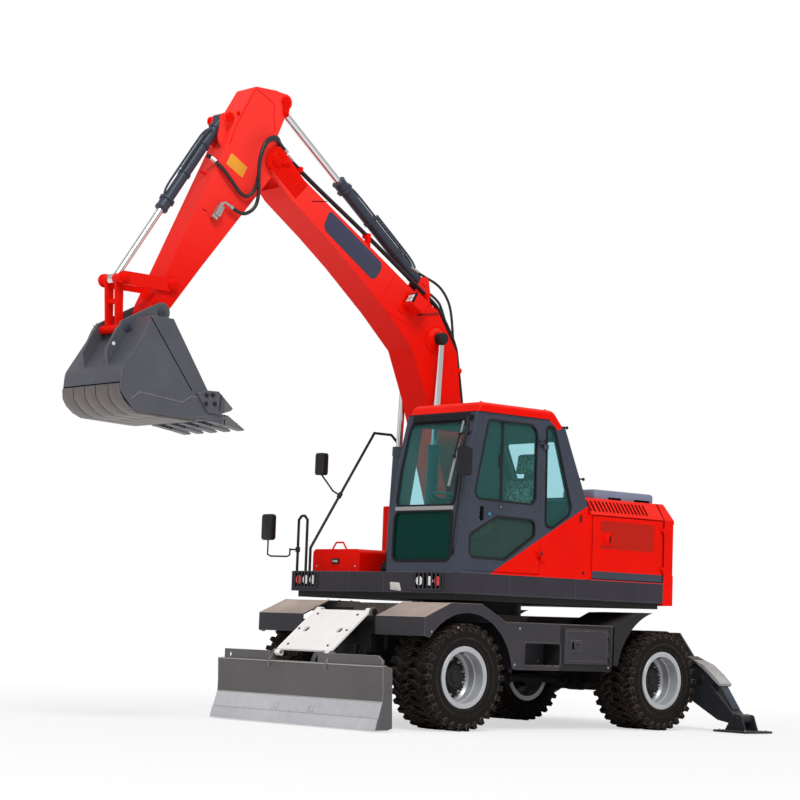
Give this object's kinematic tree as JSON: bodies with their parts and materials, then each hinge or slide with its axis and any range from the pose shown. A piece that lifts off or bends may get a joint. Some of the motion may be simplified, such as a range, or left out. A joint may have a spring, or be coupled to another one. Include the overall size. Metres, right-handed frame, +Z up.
{
  "type": "wheeled excavator",
  "caption": "Wheeled excavator with twin tyres, a dozer blade in front, folding outriggers behind, a slewing house with a glazed cab, and a boom, arm and toothed bucket.",
  "frame": {"origin": "on the ground under the slewing axis", "axes": "+X forward, towards the blade; +Y the driver's left; +Z up"},
  "size_m": [7.2913, 3.83, 6.0595],
  "materials": {
    "tyre_rubber": "matt, dusty",
    "rim_silver": "satin silver paint",
    "frame_grey": "satin dark grey paint",
    "blade_grey": "worn grey paint",
    "pale_paint": "satin off-white paint",
    "weathered_grey": "weathered grey-brown paint",
    "slate_paint": "satin slate blue-grey paint",
    "rod_chrome": "polished",
    "red_paint": "gloss vermilion paint",
    "bucket_steel": "scuffed slate paint with bright edges",
    "tinted_glass": "green tint",
    "seat_fabric": "woven",
    "black_plastic": "matt"
  },
  "bodies": {
    "undercarriage": {"chassis_frame": "frame_grey", "fenders": "frame_grey", "front_axle": "frame_grey", "rear_axle": "frame_grey", "driveline": "frame_grey", "outrigger_frame": "frame_grey"},
    "left_knuckle": {"steering_knuckle_left": "frame_grey"},
    "right_knuckle": {"steering_knuckle_right": "frame_grey"},
    "tie_rod": {"tie_rod": "frame_grey"},
    "front_left_wheel": {"tyres_front_left": "tyre_rubber", "rims_front_left": "rim_silver"},
    "front_right_wheel": {"tyres_front_right": "tyre_rubber", "rims_front_right": "rim_silver"},
    "rear_left_wheel": {"tyres_rear_left": "tyre_rubber", "rims_rear_left": "rim_silver"},
    "rear_right_wheel": {"tyres_rear_right": "tyre_rubber", "rims_rear_right": "rim_silver"},
    "bin_door_left": {"bin_door_left": "frame_grey"},
    "bin_door_right": {"bin_door_right": "frame_grey"},
    "blade_arms": {"blade_arms": "frame_grey"},
    "blade_upper_link": {"blade_upper_link": "pale_paint"},
    "blade": {"blade": "blade_grey"},
    "blade_cylinder_barrel": {"blade_cylinder_barrel": "slate_paint"},
    "blade_cylinder_rod": {"blade_cylinder_rod": "rod_chrome"},
    "outrigger_left": {"outrigger_leg_left": "weathered_grey"},
    "outrigger_right": {"outrigger_leg_right": "weathered_grey"},
    "outrigger_left_cylinder_barrel": {"outrigger_cylinder_left_barrel": "slate_paint"},
    "outrigger_left_cylinder_rod": {"outrigger_cylinder_left_rod": "rod_chrome"},
    "outrigger_right_cylinder_barrel": {"outrigger_cylinder_right_barrel": "slate_paint"},
    "outrigger_right_cylinder_rod": {"outrigger_cylinder_right_rod": "rod_chrome"},
    "house": {"deck": "slate_paint", "cab_frame": "slate_paint", "cab_glass": "tinted_glass", "cab_roof": "red_paint", "seat_pads": "seat_fabric", "cab_inside": "black_plastic", "hood": "red_paint", "counterweight": "red_paint", "engine": "frame_grey", "side_tank": "red_paint", "tool_chest": "red_paint", "air_box": "slate_paint", "hand_rails": "black_plastic", "mirrors": "black_plastic"},
    "cab_door": {"cab_door": "slate_paint", "cab_door_glass": "tinted_glass"},
    "hood_door_left": {"hood_door_left": "red_paint"},
    "hood_door_right": {"hood_door_right": "red_paint"},
    "tool_chest_lid": {"tool_chest_lid": "red_paint"},
    "boom": {"boom": "red_paint"},
    "boom_cylinders_barrel": {"boom_cylinder_barrel": "slate_paint"},
    "boom_cylinders_rod": {"boom_cylinder_rod": "rod_chrome"},
    "arm": {"arm": "red_paint"},
    "arm_cylinder_barrel": {"arm_cylinder_barrel": "slate_paint"},
    "arm_cylinder_rod": {"arm_cylinder_rod": "rod_chrome"},
    "bucket": {"bucket": "bucket_steel"},
    "guide_links": {"guide_links": "red_paint"},
    "bucket_link": {"bucket_link": "red_paint"},
    "bucket_cylinder_barrel": {"bucket_cylinder_barrel": "slate_paint"},
    "bucket_cylinder_rod": {"bucket_cylinder_rod": "rod_chrome"}
  },
  "joints": [
    {"name": "slew", "type": "hinge", "parent": "undercarriage", "child": "house", "pos_m": [0, 0, 1.12], "axis": [0, 0, 1], "continuous": true},
    {"name": "steer_left", "type": "hinge", "parent": "undercarriage", "child": "left_knuckle", "pos_m": [1.15, 0.76, 0.51], "axis": [0, 0, 1], "range_deg": [-28, 28]},
    {"name": "steer_right", "type": "hinge", "parent": "undercarriage", "child": "right_knuckle", "pos_m": [1.15, -0.76, 0.51], "axis": [0, 0, 1], "range_deg": [-28.1, 28.1]},
    {"name": "tie_rod_turn", "type": "hinge", "parent": "left_knuckle", "child": "tie_rod", "pos_m": [1.04, 0.76, 0.65], "axis": [0, 0, 1], "range_deg": [-28.1, 28.1]},
    {"name": "wheel_front_left", "type": "hinge", "parent": "left_knuckle", "child": "front_left_wheel", "pos_m": [1.15, 0.975, 0.51], "axis": [0, 1, 0], "continuous": true},
    {"name": "wheel_front_right", "type": "hinge", "parent": "right_knuckle", "child": "front_right_wheel", "pos_m": [1.15, -0.975, 0.51], "axis": [0, 1, 0], "continuous": true},
    {"name": "wheel_rear_left", "type": "hinge", "parent": "undercarriage", "child": "rear_left_wheel", "pos_m": [-1.65, 0.975, 0.51], "axis": [0, 1, 0], "continuous": true},
    {"name": "wheel_rear_right", "type": "hinge", "parent": "undercarriage", "child": "rear_right_wheel", "pos_m": [-1.65, -0.975, 0.51], "axis": [0, 1, 0], "continuous": true},
    {"name": "bin_door_left_hinge", "type": "hinge", "parent": "undercarriage", "child": "bin_door_left", "pos_m": [-0.792, 1.268, 0.835], "axis": [0, 0, 1], "range_deg": [0, 110]},
    {"name": "bin_door_right_hinge", "type": "hinge", "parent": "undercarriage", "child": "bin_door_right", "pos_m": [-0.792, -1.268, 0.835], "axis": [0, 0, -1], "range_deg": [0, 110]},
    {"name": "blade_lift", "type": "hinge", "parent": "undercarriage", "child": "blade_arms", "pos_m": [1.63, 0, 0.56], "axis": [0, -1, 0], "range_deg": [-12, 45]},
    {"name": "blade_upper_turn", "type": "hinge", "parent": "undercarriage", "child": "blade_upper_link", "pos_m": [1.63, 0, 1.1], "axis": [0, -1, 0], "range_deg": [-12.2, 45.2]},
    {"name": "blade_turn", "type": "hinge", "parent": "blade_arms", "child": "blade", "pos_m": [2.13, 0, 0.14], "axis": [0, -1, 0], "range_deg": [-45.2, 12.2]},
    {"name": "blade_cylinder_barrel_turn", "type": "hinge", "parent": "undercarriage", "child": "blade_cylinder_barrel", "pos_m": [1.665, 0, 0.93], "axis": [0, -1, 0], "range_deg": [-7.31, 26.04]},
    {"name": "blade_cylinder_rod_slide", "type": "slide", "parent": "blade_cylinder_barrel", "child": "blade_cylinder_rod", "axis": [0.4875, 0, -0.8731], "range_m": [-0.20216, 0.05538]},
    {"name": "outrigger_left_swing", "type": "hinge", "parent": "undercarriage", "child": "outrigger_left", "pos_m": [-2.375, 0.96, 0.44], "axis": [1, 0, 0], "range_deg": [-8, 95]},
    {"name": "outrigger_right_swing", "type": "hinge", "parent": "undercarriage", "child": "outrigger_right", "pos_m": [-2.375, -0.96, 0.44], "axis": [-1, 0, 0], "range_deg": [-8, 95]},
    {"name": "outrigger_left_cylinder_barrel_turn", "type": "hinge", "parent": "undercarriage", "child": "outrigger_left_cylinder_barrel", "pos_m": [-2.535, 0.15, 0.9], "axis": [1, 0, 0], "range_deg": [-0.8, 4.04]},
    {"name": "outrigger_left_cylinder_rod_slide", "type": "slide", "parent": "outrigger_left_cylinder_barrel", "child": "outrigger_left_cylinder_rod", "axis": [0, 0.9433, -0.332], "range_m": [-0.37794, 0.03366]},
    {"name": "outrigger_right_cylinder_barrel_turn", "type": "hinge", "parent": "undercarriage", "child": "outrigger_right_cylinder_barrel", "pos_m": [-2.535, -0.15, 0.9], "axis": [-1, 0, 0], "range_deg": [-0.8, 4.04]},
    {"name": "outrigger_right_cylinder_rod_slide", "type": "slide", "parent": "outrigger_right_cylinder_barrel", "child": "outrigger_right_cylinder_rod", "axis": [0, -0.9433, -0.332], "range_m": [-0.37794, 0.03366]},
    {"name": "cab_door_hinge", "type": "hinge", "parent": "house", "child": "cab_door", "pos_m": [0.214, 1.272, 2.25], "axis": [0, 0, 1], "range_deg": [0, 170]},
    {"name": "hood_door_left_hinge", "type": "hinge", "parent": "house", "child": "hood_door_left", "pos_m": [-1.582, 1.264, 1.84], "axis": [0, 0, 1], "range_deg": [0, 110]},
    {"name": "hood_door_right_hinge", "type": "hinge", "parent": "house", "child": "hood_door_right", "pos_m": [-1.582, -1.264, 1.84], "axis": [0, 0, -1], "range_deg": [0, 110]},
    {"name": "tool_chest_lid_hinge", "type": "hinge", "parent": "house", "child": "tool_chest_lid", "pos_m": [0.606, -0.795, 1.655], "axis": [0, -1, 0], "range_deg": [0, 95]},
    {"name": "boom_lift", "type": "hinge", "parent": "house", "child": "boom", "pos_m": [0.09, -0.085, 1.74], "axis": [0, -1, 0], "range_deg": [-75, 8]},
    {"name": "boom_cylinders_barrel_turn", "type": "hinge", "parent": "house", "child": "boom_cylinders_barrel", "pos_m": [0.742, -0.085, 1.56], "axis": [0, -1, 0], "range_deg": [-83.06, 9.31]},
    {"name": "boom_cylinders_rod_slide", "type": "slide", "parent": "boom_cylinders_barrel", "child": "boom_cylinders_rod", "axis": [-0.0443, 0, 0.999], "range_m": [-0.76064, 0.08292]},
    {"name": "arm_turn", "type": "hinge", "parent": "boom", "child": "arm", "pos_m": [2.776, -0.085, 5.376], "axis": [0, 1, 0], "range_deg": [-76, 36]},
    {"name": "arm_cylinder_barrel_turn", "type": "hinge", "parent": "boom", "child": "arm_cylinder_barrel", "pos_m": [0.729, -0.085, 4.457], "axis": [0, 1, 0], "range_deg": [-3.05, 1.71]},
    {"name": "arm_cylinder_rod_slide", "type": "slide", "parent": "arm_cylinder_barrel", "child": "arm_cylinder_rod", "axis": [0.7881, 0, 0.6155], "range_m": [-0.69894, 0.33213]},
    {"name": "bucket_turn", "type": "hinge", "parent": "arm", "child": "bucket", "pos_m": [4.053, -0.085, 3.744], "axis": [0, 1, 0], "range_deg": [-85, 57]},
    {"name": "guide_links_turn", "type": "hinge", "parent": "arm", "child": "guide_links", "pos_m": [3.917, -0.085, 4.014], "axis": [0, 1, 0], "range_deg": [-65.22, 43.9]},
    {"name": "bucket_link_turn", "type": "hinge", "parent": "bucket", "child": "bucket_link", "pos_m": [4.433, -0.085, 3.563], "axis": [0, 1, 0], "range_deg": [-36.34, 53.94]},
    {"name": "bucket_cylinder_barrel_turn", "type": "hinge", "parent": "arm", "child": "bucket_cylinder_barrel", "pos_m": [3.332, -0.085, 5.697], "axis": [0, 1, 0], "range_deg": [-5.68, 3.97]},
    {"name": "bucket_cylinder_rod_slide", "type": "slide", "parent": "bucket_cylinder_barrel", "child": "bucket_cylinder_rod", "axis": [0.5555, 0, -0.8315], "range_m": [-0.50073, 0.33644]}
  ],
  "couplings": [
    {"joint": "steer_right", "follows": "steer_left", "ratio": 1},
    {"joint": "tie_rod_turn", "follows": "steer_left", "ratio": -1},
    {"joint": "blade_upper_turn", "follows": "blade_lift", "ratio": 1},
    {"joint": "blade_turn", "follows": "blade_lift", "ratio": -1},
    {"joint": "blade_cylinder_barrel_turn", "follows": "blade_lift", "ratio": 0.56757},
    {"joint": "blade_cylinder_rod_slide", "follows": "blade_lift", "m_per_rad": -0.25486},
    {"joint": "outrigger_left_cylinder_barrel_turn", "follows": "outrigger_left_swing", "ratio": 0.037303},
    {"joint": "outrigger_left_cylinder_rod_slide", "follows": "outrigger_left_swing", "m_per_rad": -0.22673},
    {"joint": "outrigger_right_cylinder_barrel_turn", "follows": "outrigger_right_swing", "ratio": 0.037303},
    {"joint": "outrigger_right_cylinder_rod_slide", "follows": "outrigger_right_swing", "m_per_rad": -0.22673},
    {"joint": "boom_cylinders_barrel_turn", "follows": "boom_lift", "ratio": 1.1008},
    {"joint": "boom_cylinders_rod_slide", "follows": "boom_lift", "m_per_rad": 0.57956},
    {"joint": "arm_cylinder_barrel_turn", "follows": "arm_turn", "ratio": 0.033576},
    {"joint": "arm_cylinder_rod_slide", "follows": "arm_turn", "m_per_rad": 0.52542},
    {"joint": "guide_links_turn", "follows": "bucket_turn", "ratio": 0.76138},
    {"joint": "bucket_link_turn", "follows": "bucket_turn", "ratio": -0.6287},
    {"joint": "bucket_cylinder_barrel_turn", "follows": "bucket_turn", "ratio": 0.06091},
    {"joint": "bucket_cylinder_rod_slide", "follows": "bucket_turn", "m_per_rad": 0.33618}
  ]
}
